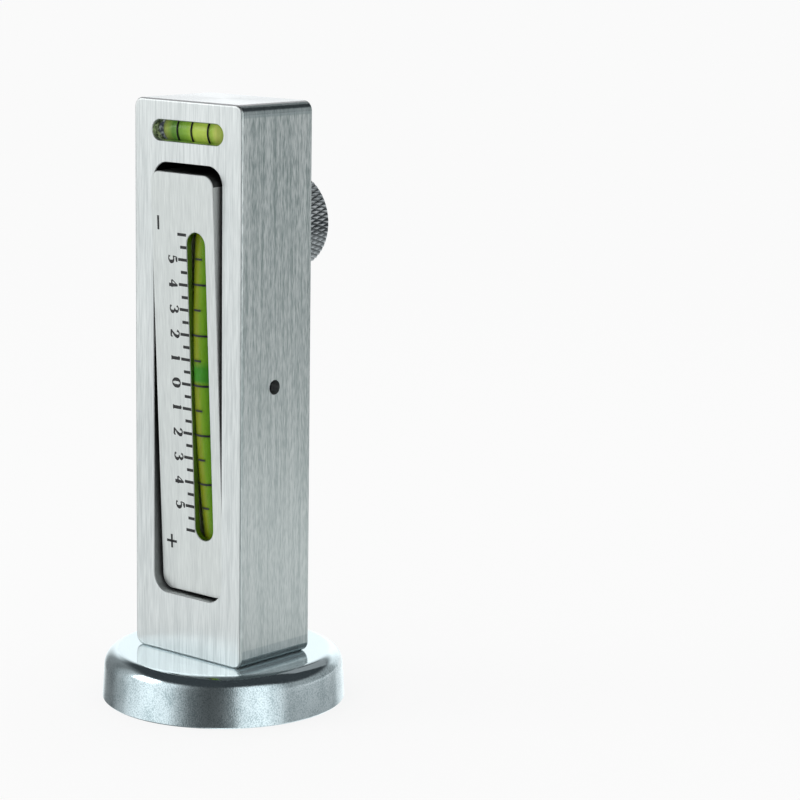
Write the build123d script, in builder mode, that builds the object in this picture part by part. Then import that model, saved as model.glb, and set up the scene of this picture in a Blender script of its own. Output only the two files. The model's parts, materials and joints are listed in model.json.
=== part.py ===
"""Camber and caster gauge: a square bar on a round magnet, with a tilting spirit-level scale.

Millimetres. Z points up from the magnet's gripping face, the scale faces -Y and the knob +Y.
The origin is the centre of the gripping face.

The scale carrier rocks on a cross pin at mid-height. A knurled screw in the back wall pushes
its top forward through a swivelling pad, and a spring below the pin pushes it back.
"""
import os
from math import cos, degrees, radians, sin, sqrt, tan

from build123d import *

os.makedirs("parts", exist_ok=True)

# ------------------------------------------------------------------ driving dimensions
# Magnetic base: a deep-drawn steel cup round a ring magnet and a steel core
base_diameter = 60.0
base_height = 12.1
cup_wall = 2.0
cup_shoulder_radius = 4.0
cup_draft = 3.5  # degrees that the drawn side leans in
cup_rim_bevel = 0.3
pole_diameter = 22.0
potting_gap = 2.2  # resin between the core and the ring magnet
magnet_recess = 0.4  # magnet and resin lie this far inside the gripping face

# Screw that holds the base to the body
base_screw_diameter = 6.0
base_screw_grip = 9.0  # length of thread in the body
base_screw_head_diameter = 10.0
base_screw_head_height = 6.0
base_screw_head_recess = 0.7
base_screw_socket = 5.0  # across flats
base_screw_socket_depth = 3.0
base_washer_thickness = 1.6
base_washer_slit = 0.7

# Body: a rectangular aluminium bar
body_width = 36.0
body_depth = 24.2
body_height = 135.5
body_forward = 0.65  # bar's middle in front of the base's centre
body_corner_radius = 2.4
body_edge_radius = 0.6
back_wall = 4.45
pocket_side_wall = 6.5
pocket_end_wall = 15.0  # metal above and below the pocket
pocket_corner_radius = 4.5
mouth_bevel = 0.15  # broken edge round the pocket and the level window

# Cross pin that the carrier rocks on
pin_diameter = 3.6
pin_recess = 3.0  # pin ends below the side faces
swing_limit = 4.05  # degrees that the carrier leans either way from upright
swing_clearance = 0.75  # from the carrier, leaning back, to the pocket's floor

# Scale carrier
rest_tilt = 2.4  # degrees, top forward
carrier_corner_radius = 3.0
carrier_drop = 0.2  # the carrier's middle below the pin
carrier_front_wall = 1.6
carrier_pin_cover = 1.15  # metal behind the pin bore
side_gap = 1.0
end_gap = 1.2
window_lip = 0.8  # metal over each long edge of the vial
window_end_cover = 3.3  # metal over each end of the vial
window_right_strip = 3.25  # metal right of the window
groove_cutter_radius = 2.0

# Back plate that closes the vial groove
back_plate_thickness = 1.2
back_plate_side_margin = 1.5
back_plate_end_margin = 4.1
plate_screw_diameter = 2.0
plate_screw_head_diameter = 3.8
plate_screw_length = 6.0
plate_screw_side_margin = 2.2  # screw axis to the plate's long edge
plate_screw_end_margin = 2.7  # screw axis to the plate's short edge

# Camber vial, bent so that one degree moves the bubble one degree mark
degree_spacing = 6.05
camber_pin_gap = 1.1  # from the vial to the pin behind it
camber_vial_nest = 0.7  # the vial's crest stands this far into its window
camber_end_margin = 10.6  # from the vial's ends to the carrier's ends
camber_vial_wall = 0.9
camber_plug_length = 3.0
camber_bubble_body = 0.8  # straight part between the bubble's round ends
camber_bubble_margin = 0.7  # half of what the bore is wider than the bubble
camber_bubble_rise = 2.9  # above the zero mark
cushion_length = 9.0
cushion_inset = 6.0  # from the vial's end to a cushion's middle
cushion_wrap = 1.7

# Level vial, crosswise in the top of the body
level_drop = 7.4  # vial axis below the top face
level_setback = 6.4  # vial axis behind the front face
level_vial_diameter = 8.2
level_plug_wall = 0.7
level_cavity_diameter = 6.0
level_cavity_left_margin = 5.1  # from the body's left side to the cavity
level_cavity_right_margin = 10.5
level_vial_recess = 0.3  # vial end below the side face
level_end_wall = 2.4
level_window_margin = 6.15  # from the window's ends to the body's sides
level_window_height = 5.0
level_bubble_body = 1.8
level_bubble_margin = 1.4

# Adjusting screw, its swivelling pad and the knurled knob
adjuster_inset = 14.8  # from the screw and the spring to the carrier's ends
adjuster_diameter = 5.0
pad_diameter = 4.0
pad_head_length = 2.0
pad_dome_radius = 4.0
pad_stem_diameter = 2.4
pad_stem_length = 3.0
knob_diameter = 23.8
knob_thickness = 8.5
knob_stand_off = 4.55  # knurled disc behind the body
knob_hub_diameter = 11.0
knob_hub_length = 3.2
knob_bevel = 0.55
knob_socket_depth = 6.5

# Return spring, below the pin
spring_diameter = 5.2
spring_wire = 0.5
spring_wire_sides = 8  # the round wire is drawn with flats
spring_turns = 3.5
spring_seat_depth = 2.4

# Fits
running_clearance = 0.05  # radial, pin in carrier and screw in body
vial_clearance = 0.05  # radial, level vial in its bore
seat_clearance = 0.05  # pad and spring to the moving carrier
groove_clearance = 0.2  # each side of the camber vial
screw_hole_clearance = 0.25  # radial, base screw through core and cup
spring_seat_clearance = 0.2
spacer_clearance = 0.05
spacer_diameter = 8.0
bubble_film = 0.15  # spirit between a bubble and its glass

# ------------------------------------------------------------------ places worked out from them
front_y = -body_depth / 2 - body_forward
back_y = body_depth / 2 - body_forward
body_top = base_height + body_height
pocket_floor_y = back_y - back_wall
pocket_width = body_width - 2 * pocket_side_wall
pocket_length = body_height - 2 * pocket_end_wall

carrier_width = pocket_width - 2 * side_gap
carrier_length = pocket_length - 2 * end_gap
carrier_back = pin_diameter / 2 + running_clearance + carrier_pin_cover
carrier_rear = carrier_back + back_plate_thickness
back_plate_width = carrier_width - 2 * back_plate_side_margin
back_plate_length = carrier_length - 2 * back_plate_end_margin
plate_screw_spacing_x = back_plate_width - 2 * plate_screw_side_margin
plate_screw_spacing_z = back_plate_length - 2 * plate_screw_end_margin

# The pin lies far enough from the pocket's floor for the carrier to lean back
swing = radians(swing_limit)
swing_room = carrier_rear * cos(swing) + back_plate_length / 2 * sin(swing) + swing_clearance
pivot_y = pocket_floor_y - swing_room
pivot_z = base_height + body_height / 2
carrier_front = pivot_y - front_y  # flush with the body when upright
tilt = radians(rest_tilt)
forward = Vector(0, -cos(tilt), -sin(tilt))
scale_plane = Plane(origin=(0, pivot_y, pivot_z), x_dir=(1, 0, 0), z_dir=forward)
rear_plane = Plane(origin=(0, pivot_y, pivot_z), x_dir=(1, 0, 0), z_dir=-forward)
pin_plane = Plane(origin=(0, pivot_y, pivot_z), x_dir=(0, 1, 0), z_dir=(1, 0, 0))

# The camber vial fills the space between the pin and its window in the carrier's front wall
vial_crest = carrier_front - carrier_front_wall + camber_vial_nest
camber_vial_diameter = vial_crest - pin_diameter / 2 - camber_pin_gap
camber_vial_length = carrier_length - 2 * camber_end_margin
camber_bore_radius = camber_vial_diameter / 2 - camber_vial_wall
camber_bubble_diameter = 2 * (camber_bore_radius - camber_bubble_margin)
scale_window_width = camber_vial_diameter - 2 * window_lip
scale_window_length = camber_vial_length - 2 * window_end_cover
scale_window_x = carrier_width / 2 - window_right_strip - scale_window_width / 2
groove_width = camber_vial_diameter + 2 * groove_clearance
groove_length = camber_vial_length + 2 * groove_cutter_radius
cushion_offset = camber_vial_length / 2 - cushion_inset

bend_radius = degree_spacing / radians(1)
vial_axis_front = vial_crest - camber_vial_diameter / 2
vial_plane = Plane(
    origin=scale_plane.from_local_coords((scale_window_x, 0, 0)),
    x_dir=scale_plane.y_dir,
    z_dir=(1, 0, 0),
)

level_y = front_y + level_setback
level_z = body_top - level_drop
level_left = -body_width / 2 + level_vial_recess
level_cavity_left = -body_width / 2 + level_cavity_left_margin
level_cavity_right = body_width / 2 - level_cavity_right_margin
level_cavity_x = (level_cavity_left + level_cavity_right) / 2
level_cavity_length = level_cavity_right - level_cavity_left
level_plug_end = level_cavity_left + level_cavity_diameter / 2
level_plug_diameter = level_vial_diameter - 2 * level_plug_wall
level_right = level_cavity_right + level_end_wall
level_window_length = body_width - 2 * level_window_margin
level_bubble_diameter = level_cavity_diameter - 2 * level_bubble_margin
level_axis = Axis((0, level_y, level_z), (1, 0, 0))

adjuster_offset = carrier_length / 2 - adjuster_inset
adjuster_z = pivot_z + adjuster_offset
spring_z = pivot_z - adjuster_offset
dome_center_y = pivot_y + (carrier_rear + pad_dome_radius - adjuster_offset * sin(tilt)) / cos(tilt)
pad_tip_y = dome_center_y - pad_dome_radius + seat_clearance
screw_tip_y = pad_tip_y + pad_head_length
knob_front_y = back_y + knob_stand_off
knob_back_y = knob_front_y + knob_thickness
screw_end_y = knob_front_y - knob_hub_length + knob_socket_depth

cup_inner_radius = base_diameter / 2 - cup_wall / cos(radians(cup_draft))
cup_inner_height = base_height - cup_wall
cup_inner_shoulder = max(cup_shoulder_radius - cup_wall, 0.5)
magnet_radius = cup_inner_radius - cup_inner_height * tan(radians(cup_draft)) - cup_inner_shoulder
magnet_bore_radius = pole_diameter / 2 + potting_gap
screw_hole_radius = base_screw_diameter / 2 + screw_hole_clearance
head_seat_z = base_screw_head_recess + base_screw_head_height
washer_top_z = head_seat_z + base_washer_thickness
head_pocket_radius = base_screw_head_diameter / 2 + 2 * screw_hole_clearance


def cup_outline(rim_radius, height):
    """Half the outline of a drawn cup, from its axis to the leaning side."""
    top_radius = rim_radius - height * tan(radians(cup_draft))
    return Polyline((0, 0), (rim_radius, 0), (top_radius, height), (0, height), close=True)


def bent_rod(radius, low, high):
    """A round rod along the camber vial's bend, from low to high along the scale."""
    with BuildPart() as rod:
        with BuildLine(vial_plane) as bend:
            start = 90 - degrees(high / bend_radius)
            sweep_angle = degrees((high - low) / bend_radius)
            CenterArc((0, vial_axis_front - bend_radius), bend_radius, start, sweep_angle)
        with BuildSketch(Plane(origin=bend.line @ 0, z_dir=bend.line % 0)):
            Circle(radius)
        sweep()
    return rod.part


def bubble(plane, body_length, diameter):
    """An air bubble with round ends, its long axis along the plane's X."""
    with BuildPart() as air:
        with BuildSketch(plane):
            SlotCenterToCenter(body_length, diameter)
            with Locations((0, -diameter / 2)):
                Rectangle(body_length + diameter, diameter, mode=Mode.SUBTRACT)
        revolve(axis=Axis(plane.origin, plane.x_dir))
    return air.part


# ------------------------------------------------------------------ magnetic base
with BuildPart() as cup_hollow:
    with BuildSketch(Plane.XZ):
        with BuildLine():
            cup_outline(cup_inner_radius, cup_inner_height)
        make_face()
        fillet(vertices().group_by(Axis.Y)[-1].sort_by(Axis.X)[-1], cup_inner_shoulder)
    revolve(axis=Axis.Z)

with BuildPart() as magnet_cup:
    with BuildSketch(Plane.XZ):
        with BuildLine():
            cup_outline(base_diameter / 2, base_height)
        make_face()
        fillet(vertices().group_by(Axis.Y)[-1].sort_by(Axis.X)[-1], cup_shoulder_radius)
        chamfer(vertices().group_by(Axis.Y)[0].sort_by(Axis.X)[-1], cup_rim_bevel)
    revolve(axis=Axis.Z)
    add(cup_hollow.part, mode=Mode.SUBTRACT)
    with BuildSketch(Plane.XY.offset(base_height)):
        Circle(screw_hole_radius)
    extrude(amount=-cup_wall, mode=Mode.SUBTRACT)

with BuildPart() as pole_piece:
    with BuildSketch():
        Circle(pole_diameter / 2)
    extrude(amount=cup_inner_height)
    with BuildSketch():
        Circle(head_pocket_radius)
    extrude(amount=washer_top_z, mode=Mode.SUBTRACT)
    with BuildSketch():
        Circle(screw_hole_radius)
    extrude(amount=cup_inner_height, mode=Mode.SUBTRACT)

with BuildPart() as ring_magnet:
    with BuildSketch(Plane.XY.offset(magnet_recess)):
        Circle(magnet_radius)
        Circle(magnet_bore_radius, mode=Mode.SUBTRACT)
    extrude(amount=cup_inner_height - magnet_recess)

# Resin fills the two ring gaps, inside and outside the magnet
with BuildPart() as magnet_potting:
    add(cup_hollow.part)
    with BuildSketch():
        Circle(base_diameter / 2)
    extrude(amount=magnet_recess, mode=Mode.SUBTRACT)
    with BuildSketch():
        Circle(magnet_radius)
        Circle(magnet_bore_radius, mode=Mode.SUBTRACT)
        Circle(pole_diameter / 2)
    extrude(amount=cup_inner_height, mode=Mode.SUBTRACT)

with BuildPart() as base_screw:
    with BuildSketch(Plane.XY.offset(base_screw_head_recess)):
        Circle(base_screw_head_diameter / 2)
    extrude(amount=base_screw_head_height)
    with BuildSketch(Plane.XY.offset(head_seat_z)):
        Circle(base_screw_diameter / 2)
    extrude(amount=base_height + base_screw_grip - head_seat_z)
    with BuildSketch(Plane.XY.offset(base_screw_head_recess)):
        RegularPolygon(base_screw_socket / 2, 6, major_radius=False)
    extrude(amount=base_screw_socket_depth, mode=Mode.SUBTRACT)

with BuildPart() as base_washer:
    with BuildSketch(Plane.XY.offset(head_seat_z)):
        Circle(base_screw_head_diameter / 2)
        Circle(base_screw_diameter / 2, mode=Mode.SUBTRACT)
        with Locations((base_screw_head_diameter / 2, 0)):
            Rectangle(base_screw_head_diameter, base_washer_slit, mode=Mode.SUBTRACT)
    extrude(amount=base_washer_thickness)

# ------------------------------------------------------------------ body
with BuildPart() as housing:
    with BuildSketch(Plane(origin=(0, back_y, pivot_z), x_dir=(1, 0, 0), z_dir=(0, -1, 0))):
        RectangleRounded(body_width, body_height, body_corner_radius)
    extrude(amount=body_depth)
    face_outlines = housing.faces().filter_by(Axis.Y).edges()
    fillet(face_outlines, body_edge_radius)

    # pocket for the scale carrier, milled from the front
    with BuildSketch(Plane(origin=(0, front_y, pivot_z), x_dir=(1, 0, 0), z_dir=(0, -1, 0))):
        RectangleRounded(pocket_width, pocket_length, pocket_corner_radius)
    extrude(amount=back_wall - body_depth, mode=Mode.SUBTRACT)

    # window of the level vial, and the vial's blind bore from the left side
    with BuildSketch(Plane(origin=(0, front_y, level_z), x_dir=(1, 0, 0), z_dir=(0, -1, 0))):
        SlotOverall(level_window_length, level_window_height)
    extrude(amount=-level_setback, mode=Mode.SUBTRACT)
    with BuildSketch(Plane(origin=(-body_width / 2, level_y, level_z), z_dir=(1, 0, 0))):
        Circle(level_vial_diameter / 2 + vial_clearance)
    extrude(amount=body_width / 2 + level_right, mode=Mode.SUBTRACT)
    chamfer(housing.faces().sort_by(Axis.Y)[0].inner_wires().edges(), mouth_bevel)

    # cross bore of the pin
    with BuildSketch(pin_plane):
        Circle(pin_diameter / 2)
    extrude(amount=body_width, both=True, mode=Mode.SUBTRACT)

    # bore of the adjusting screw above, seat of the spring below
    with BuildSketch(Plane(origin=(0, back_y, adjuster_z), z_dir=(0, -1, 0))):
        Circle(adjuster_diameter / 2 + running_clearance)
    extrude(amount=back_wall, mode=Mode.SUBTRACT)
    with BuildSketch(Plane(origin=(0, pocket_floor_y, spring_z), z_dir=(0, 1, 0))):
        Circle(spring_diameter / 2 + spring_seat_clearance)
    extrude(amount=spring_seat_depth, mode=Mode.SUBTRACT)

    # tapped hole of the base screw
    with BuildSketch(Plane.XY.offset(base_height)):
        Circle(base_screw_diameter / 2)
    extrude(amount=base_screw_grip + base_screw_diameter / 4, mode=Mode.SUBTRACT)

with BuildPart() as pivot_pin:
    with BuildSketch(pin_plane):
        Circle(pin_diameter / 2)
    extrude(amount=body_width / 2 - pin_recess, both=True)
    chamfer(pivot_pin.edges(), pin_diameter / 12)

# A spacer on the pin at each side keeps the carrier in the middle of the pocket
with BuildPart() as pivot_spacers:
    with BuildSketch(pin_plane.offset(-pocket_width / 2)):
        Circle(spacer_diameter / 2)
        Circle(pin_diameter / 2, mode=Mode.SUBTRACT)
    extrude(amount=side_gap - spacer_clearance)
    mirror(about=Plane.YZ)

# ------------------------------------------------------------------ level vial
with BuildPart() as level_cavity:
    with BuildSketch(Plane(origin=(level_cavity_x, level_y, level_z), x_dir=(1, 0, 0), z_dir=(0, -1, 0))):
        SlotOverall(level_cavity_length, level_cavity_diameter)
        with Locations((0, -level_cavity_diameter / 2)):
            Rectangle(level_cavity_length, level_cavity_diameter, mode=Mode.SUBTRACT)
    revolve(axis=level_axis)

with BuildPart() as level_vial_tube:
    with BuildSketch(Plane(origin=(level_left, level_y, level_z), z_dir=(1, 0, 0))):
        Circle(level_vial_diameter / 2)
    extrude(amount=level_right - level_left)
    with BuildSketch(Plane(origin=(level_left, level_y, level_z), z_dir=(1, 0, 0))):
        Circle(level_plug_diameter / 2)
    extrude(amount=level_plug_end - level_left, mode=Mode.SUBTRACT)
    add(level_cavity.part, mode=Mode.SUBTRACT)

with BuildPart() as level_vial_plug:
    with BuildSketch(Plane(origin=(level_left, level_y, level_z), z_dir=(1, 0, 0))):
        Circle(level_plug_diameter / 2)
    extrude(amount=level_plug_end - level_left)
    add(level_cavity.part, mode=Mode.SUBTRACT)

level_bubble_z = level_z + level_bubble_margin - bubble_film
level_bubble_plane = Plane(
    origin=(level_cavity_x, level_y, level_bubble_z), x_dir=(1, 0, 0), z_dir=(0, -1, 0)
)
level_bubble = bubble(level_bubble_plane, level_bubble_body, level_bubble_diameter)

with BuildPart() as level_vial_spirit:
    add(level_cavity.part)
    add(level_bubble, mode=Mode.SUBTRACT)

# ------------------------------------------------------------------ scale carrier
with BuildPart() as scale_carrier:
    with BuildSketch(scale_plane.offset(-carrier_back)):
        with Locations((0, -carrier_drop)):
            RectangleRounded(carrier_width, carrier_length, carrier_corner_radius)
    extrude(amount=carrier_back + carrier_front)

    # groove for the bent vial, milled from the back up to the front wall
    with BuildSketch(scale_plane.offset(-carrier_back)):
        with Locations((scale_window_x, 0)):
            RectangleRounded(groove_width, groove_length, groove_cutter_radius)
    extrude(amount=carrier_back + carrier_front - carrier_front_wall, mode=Mode.SUBTRACT)

    # window in the front wall
    with BuildSketch(scale_plane.offset(carrier_front)):
        with Locations((scale_window_x, -carrier_drop)):
            SlotOverall(scale_window_length, scale_window_width, rotation=90)
    extrude(amount=-carrier_front_wall, mode=Mode.SUBTRACT)
    scale_face = scale_carrier.faces().sort_by(Axis(scale_plane.origin, scale_plane.z_dir))[-1]
    chamfer(scale_face.edges(), mouth_bevel)

    # running bore on the pin
    with BuildSketch(pin_plane):
        Circle(pin_diameter / 2 + running_clearance)
    extrude(amount=carrier_width, both=True, mode=Mode.SUBTRACT)

    # tapped holes for the back plate's screws
    with BuildSketch(scale_plane.offset(-carrier_back)):
        with GridLocations(plate_screw_spacing_x, plate_screw_spacing_z, 2, 2):
            Circle(plate_screw_diameter / 2)
    extrude(amount=plate_screw_length, mode=Mode.SUBTRACT)

with BuildPart() as back_plate:
    with BuildSketch(rear_plane.offset(carrier_back)):
        RectangleRounded(back_plate_width, back_plate_length, carrier_corner_radius)
    extrude(amount=back_plate_thickness)
    with Locations(rear_plane.offset(carrier_rear)):
        with GridLocations(plate_screw_spacing_x, plate_screw_spacing_z, 2, 2):
            CounterSinkHole(plate_screw_diameter / 2, plate_screw_head_diameter / 2)

plate_screw_head_height = (plate_screw_head_diameter - plate_screw_diameter) / 2
with BuildPart(rear_plane.offset(carrier_rear)) as back_plate_screws:
    with GridLocations(plate_screw_spacing_x, plate_screw_spacing_z, 2, 2):
        Cone(
            plate_screw_diameter / 2,
            plate_screw_head_diameter / 2,
            plate_screw_head_height,
            align=(Align.CENTER, Align.CENTER, Align.MAX),
        )
        Cylinder(
            plate_screw_diameter / 2,
            plate_screw_length,
            align=(Align.CENTER, Align.CENTER, Align.MAX),
        )

# ------------------------------------------------------------------ camber vial
vial_half = camber_vial_length / 2
spirit_half = vial_half - camber_plug_length
vial_outer = bent_rod(camber_vial_diameter / 2, -vial_half, vial_half)
vial_bore = bent_rod(camber_bore_radius, -vial_half, vial_half)
spirit_rod = bent_rod(camber_bore_radius, -spirit_half, spirit_half)

with BuildPart() as camber_vial_tube:
    add(vial_outer)
    add(vial_bore, mode=Mode.SUBTRACT)

with BuildPart() as camber_vial_plugs:
    add(vial_bore)
    add(spirit_rod, mode=Mode.SUBTRACT)

camber_bubble_lift = vial_axis_front + camber_bubble_margin - bubble_film
camber_bubble_plane = Plane(
    origin=vial_plane.from_local_coords((camber_bubble_rise, camber_bubble_lift, 0)),
    x_dir=vial_plane.x_dir,
    z_dir=vial_plane.z_dir,
)
camber_bubble = bubble(camber_bubble_plane, camber_bubble_body, camber_bubble_diameter)

with BuildPart() as camber_vial_spirit:
    add(spirit_rod)
    add(camber_bubble, mode=Mode.SUBTRACT)

# Rubber saddles press the vial's ends against the front wall
sagitta = bend_radius - sqrt(bend_radius**2 - cushion_offset**2)
cushion_height = carrier_back + vial_axis_front - sagitta - camber_vial_diameter / 2 + cushion_wrap
with BuildPart() as vial_cushions:
    with BuildSketch(scale_plane.offset(-carrier_back)):
        with Locations((scale_window_x, -cushion_offset), (scale_window_x, cushion_offset)):
            Rectangle(groove_width, cushion_length)
    extrude(amount=cushion_height)
    add(vial_outer, mode=Mode.SUBTRACT)

# ------------------------------------------------------------------ adjuster
with BuildPart() as thrust_pad:
    with BuildSketch(Plane(origin=(0, screw_tip_y, adjuster_z), z_dir=(0, -1, 0))):
        Circle(pad_diameter / 2)
    extrude(amount=pad_head_length)
    with BuildSketch(Plane(origin=(0, screw_tip_y, adjuster_z), z_dir=(0, 1, 0))):
        Circle(pad_stem_diameter / 2)
    extrude(amount=pad_stem_length)
    with Locations((0, pad_tip_y + pad_dome_radius, adjuster_z)):
        Sphere(pad_dome_radius, mode=Mode.INTERSECT)

with BuildPart() as adjusting_screw:
    with BuildSketch(Plane(origin=(0, screw_tip_y, adjuster_z), z_dir=(0, 1, 0))):
        Circle(adjuster_diameter / 2)
    extrude(amount=screw_end_y - screw_tip_y)
    with BuildSketch(Plane(origin=(0, screw_tip_y, adjuster_z), z_dir=(0, 1, 0))):
        Circle(pad_stem_diameter / 2 + running_clearance)
    extrude(amount=pad_stem_length + running_clearance, mode=Mode.SUBTRACT)

with BuildPart() as knob:
    with BuildSketch(Plane(origin=(0, knob_back_y, adjuster_z), z_dir=(0, -1, 0))):
        Circle(knob_diameter / 2)
    extrude(amount=knob_thickness)
    rims = knob.edges().filter_by(GeomType.CIRCLE)
    chamfer(rims, knob_bevel)
    with BuildSketch(Plane(origin=(0, knob_front_y, adjuster_z), z_dir=(0, -1, 0))):
        Circle(knob_hub_diameter / 2)
    extrude(amount=knob_hub_length)
    with BuildSketch(Plane(origin=(0, knob_front_y - knob_hub_length, adjuster_z), z_dir=(0, 1, 0))):
        Circle(adjuster_diameter / 2)
    extrude(amount=knob_socket_depth, mode=Mode.SUBTRACT)

# ------------------------------------------------------------------ return spring
spring_back_y = pocket_floor_y + spring_seat_depth
spring_front_y = pivot_y + (carrier_rear + adjuster_offset * sin(tilt)) / cos(tilt) + seat_clearance
spring_drop = spring_diameter / 2 * tan(tilt)
spring_start_y = spring_front_y - spring_drop
spring_length = spring_back_y - spring_start_y
with BuildPart() as return_spring:
    with BuildLine() as coil:
        Helix(
            pitch=spring_length / spring_turns,
            height=spring_length,
            radius=(spring_diameter - spring_wire) / 2,
            center=(0, spring_start_y, spring_z),
            direction=(0, 1, 0),
        )
    with BuildSketch(Plane(origin=coil.line @ 0, z_dir=coil.line % 0)):
        RegularPolygon(spring_wire / 2, spring_wire_sides)
    sweep(is_frenet=True)
    # both ends are ground flat, on the carrier's back plate and on the seat
    split(bisect_by=rear_plane.offset(carrier_rear + seat_clearance), keep=Keep.TOP)
    split(bisect_by=Plane(origin=(0, spring_back_y, 0), z_dir=(0, 1, 0)), keep=Keep.BOTTOM)

# ------------------------------------------------------------------ write one file per piece
pieces = {
    "housing": housing,
    "level_vial_tube": level_vial_tube,
    "level_vial_plug": level_vial_plug,
    "level_vial_spirit": level_vial_spirit,
    "pivot_pin": pivot_pin,
    "pivot_spacers": pivot_spacers,
    "magnet_cup": magnet_cup,
    "ring_magnet": ring_magnet,
    "pole_piece": pole_piece,
    "magnet_potting": magnet_potting,
    "base_screw": base_screw,
    "base_washer": base_washer,
    "return_spring": return_spring,
    "scale_carrier": scale_carrier,
    "camber_vial_tube": camber_vial_tube,
    "camber_vial_plugs": camber_vial_plugs,
    "camber_vial_spirit": camber_vial_spirit,
    "vial_cushions": vial_cushions,
    "back_plate": back_plate,
    "back_plate_screws": back_plate_screws,
    "thrust_pad": thrust_pad,
    "adjusting_screw": adjusting_screw,
    "knob": knob,
}
for name, piece in pieces.items():
    piece.part.label = name
    export_step(piece.part, f"parts/{name}.step")
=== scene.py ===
# %% [markdown]
# # A camber caster gauge
#
# The gauge is a brushed aluminium bar on a round magnet. A block with a degree scale and a bent
# spirit level, the scale carrier, rocks in a pocket in the bar's front, and a knurled knob at the
# back tilts it. A small level lies crosswise at the top.
#
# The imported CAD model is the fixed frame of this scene. Pieces whose shape is right are only
# given a finish. The rest, such as the knurled knob, the glass and the printing, are modelled
# here and put where the CAD piece was.

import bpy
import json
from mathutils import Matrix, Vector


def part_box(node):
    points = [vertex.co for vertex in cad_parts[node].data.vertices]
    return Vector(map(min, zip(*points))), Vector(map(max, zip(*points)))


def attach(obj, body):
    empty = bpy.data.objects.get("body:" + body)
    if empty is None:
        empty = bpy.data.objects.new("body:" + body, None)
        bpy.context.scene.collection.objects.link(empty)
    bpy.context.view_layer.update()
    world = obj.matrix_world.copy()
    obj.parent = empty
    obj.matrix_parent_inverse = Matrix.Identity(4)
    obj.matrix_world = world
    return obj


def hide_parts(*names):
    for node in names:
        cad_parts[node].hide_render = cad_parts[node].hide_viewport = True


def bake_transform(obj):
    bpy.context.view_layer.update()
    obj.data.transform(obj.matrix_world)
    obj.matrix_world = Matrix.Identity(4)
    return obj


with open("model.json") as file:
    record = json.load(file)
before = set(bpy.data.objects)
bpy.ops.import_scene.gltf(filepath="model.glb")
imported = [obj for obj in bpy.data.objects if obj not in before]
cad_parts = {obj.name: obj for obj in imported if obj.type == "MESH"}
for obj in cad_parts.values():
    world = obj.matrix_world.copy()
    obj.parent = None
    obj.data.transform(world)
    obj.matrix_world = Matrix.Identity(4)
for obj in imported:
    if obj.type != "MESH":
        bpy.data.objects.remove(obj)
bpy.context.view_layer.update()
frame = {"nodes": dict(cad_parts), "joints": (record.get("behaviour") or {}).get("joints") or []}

# %% [markdown]
# Blender works in metres. A length here is written in millimetres and multiplied by MM. The pin
# and the adjusting screw lie where the CAD model's joints are.

# %% Units and main places
import json
from math import pi, radians, sin, tan

import bmesh
import bpy
from mathutils import Matrix, Vector

MM = 0.001
joints = {joint["name"]: joint for joint in frame["joints"]}
pivot = Vector(joints["carrier_tilt"]["pos_m"])
screw_axis = Vector(joints["knob_turn"]["pos_m"])
body_low, body_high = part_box("housing")
base_top = body_low.z
print("the pin is", round(pivot.z / MM, 2), "mm up, the screw", round(screw_axis.z / MM, 2))

# %% [markdown]
# The carrier leans forward at rest. Its parts are modelled upright, with the pin at the origin,
# and one matrix leans them and puts them on the pin. CAD nodes are measured upright, too.

# %% The carrier's own axes
REST_TILT = radians(2.4)
lean = Matrix.Translation(pivot) @ Matrix.Rotation(REST_TILT, 4, "X")


def carrier_box(node):
    """Lowest and highest corner of a CAD node, measured along the leaning carrier's axes."""
    upright = lean.inverted()
    points = [upright @ vertex.co for vertex in frame["nodes"][node].data.vertices]
    low = Vector([min(point[i] for point in points) for i in range(3)])
    high = Vector([max(point[i] for point in points) for i in range(3)])
    return low, high


carrier_low, carrier_high = carrier_box("scale_carrier")
scale_face = carrier_low.y
print("the scale face is", round(-scale_face / MM, 2), "mm in front of the pin")

# %% [markdown]
# ## Camera
#
# The camera was fitted to the photograph. It stands to the front right, a little above the gauge,
# and looks down by ten degrees. Its lens is long, so upright edges stay nearly parallel. Its aim
# is three turns in a row: the roll about the line of sight, then the pitch, then the yaw.

# %% Camera
CAMERA_AT = Vector((465.54, -473.66, 198.08)) * MM
YAW, PITCH, ROLL = radians(40.81), radians(10.534), radians(0.819)
FOCAL_PIXELS, FRAME_PIXELS = 2764.0, 800

bpy.ops.object.camera_add(location=CAMERA_AT)
camera = bpy.context.object
aim = Matrix.Rotation(YAW, 3, "Z") @ Matrix.Rotation(radians(90) - PITCH, 3, "X")
aim = aim @ Matrix.Rotation(ROLL, 3, "Z")
camera.rotation_euler = aim.to_euler()
camera.data.sensor_width = 36
camera.data.lens = FOCAL_PIXELS * camera.data.sensor_width / FRAME_PIXELS
camera.data.clip_start = 0.01
bpy.context.scene.camera = camera
print("lens", round(camera.data.lens, 1), "mm")

# %% [markdown]
# ## Short calls for nodes
#
# A finish, the floor and the world are all node trees. One call adds a node, sets its properties,
# fills its sockets with links or plain values, and gives back one of its outputs. The calls after
# it are for what is used most, and find the tree by the links they are given.

# %% Nodes
def feed(node, inputs):
    """Fills sockets of a node, each with a link, a colour of three numbers or a plain value."""
    for socket, value in inputs.items():
        if isinstance(value, bpy.types.NodeSocket):
            node.id_data.links.new(value, node.inputs[socket])
        elif node.inputs[socket].type == "RGBA":
            node.inputs[socket].default_value = (*value, 1)
        else:
            node.inputs[socket].default_value = value


def add(tree, kind, inputs=None, output=0, **settings):
    """Adds a node and gives back one of its outputs."""
    node = tree.nodes.new("ShaderNode" + kind)
    for name, value in settings.items():
        setattr(node, name, value)
    feed(node, inputs or {})
    return node.outputs[output]


def tree_of(values):
    """The tree that the first link among some values belongs to."""
    return next(value.id_data for value in values if isinstance(value, bpy.types.NodeSocket))


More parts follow.
